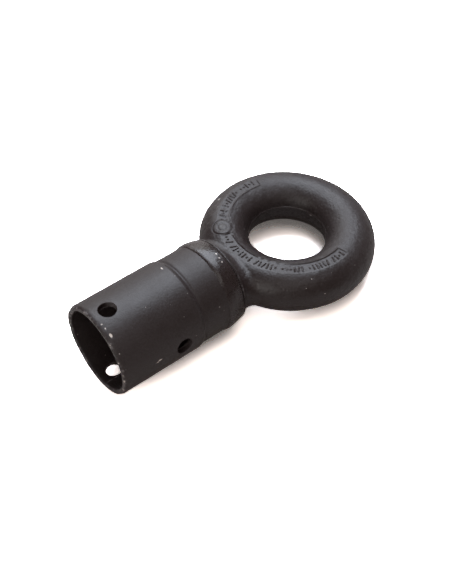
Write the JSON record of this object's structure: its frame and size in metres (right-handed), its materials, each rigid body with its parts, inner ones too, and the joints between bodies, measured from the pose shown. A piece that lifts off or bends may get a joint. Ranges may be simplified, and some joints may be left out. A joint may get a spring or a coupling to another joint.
{
  "type": "towing eye",
  "caption": "Forged ring eye welded to a short tubular socket with crossed through-holes, for coupling a trailer's draw tube to a hook or pin.",
  "frame": {"origin": "centre of the eye, on the axis of its hole and half-way through the ring", "axes": "+Z along the eye's hole, +X from the socket towards the eye, so the socket's mouth faces -X; +Y completes the right-handed frame"},
  "size_m": [0.2783, 0.1542, 0.08],
  "materials": {
    "forging": "thin black dip paint over a shot-blasted forging",
    "tube": "thin black dip paint, semi-matt, over drawn steel tube",
    "weld": "thin glossy black paint over a rippled weld bead"
  },
  "bodies": {
    "root": {"forged_eye": "forging", "socket_tube": "tube", "weld_bead": "weld"}
  },
  "joints": []
}
